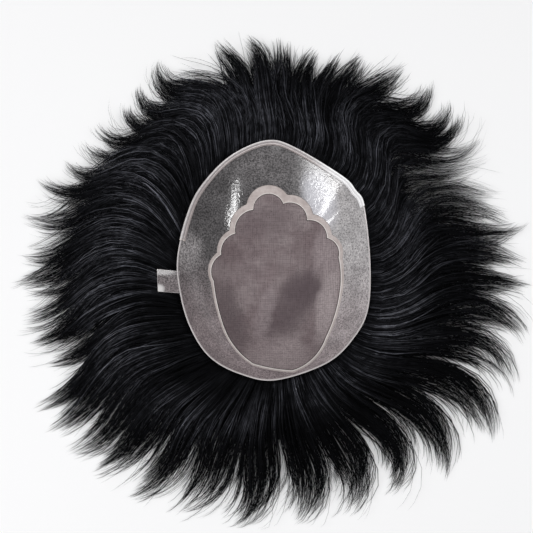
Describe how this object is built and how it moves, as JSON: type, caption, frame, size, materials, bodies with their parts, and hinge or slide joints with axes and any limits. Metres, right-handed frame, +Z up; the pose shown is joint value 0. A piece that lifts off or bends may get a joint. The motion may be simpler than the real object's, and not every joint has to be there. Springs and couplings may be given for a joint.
{
  "type": "toupee hairpiece",
  "caption": "Short black toupee lying on its hair, scalp side up: a clear film perimeter with a tape tab, a scalloped band, a lace center and a fringe of waved locks.",
  "frame": {"origin": "on the floor it lies on, under the middle of the base", "axes": "+Y towards the front hairline, +X to the right as seen from above with the front away, +Z up out of the bowl"},
  "size_m": [0.4839, 0.4546, 0.067],
  "materials": {
    "film": "thin clear film over dark hair, fine knots showing through",
    "band": "cream binding tape, soft sheen, bright stitched edge",
    "lace": "fine mauve mesh with dark hair showing through",
    "hem": "folded double film, milky, glossy edge",
    "hair": "near black human hair, cool sheen along the waves"
  },
  "bodies": {
    "root": {"film_perimeter": "film", "scallop_band": "band", "lace_center": "lace", "front_hem": "hem", "hair": "hair"}
  },
  "joints": []
}
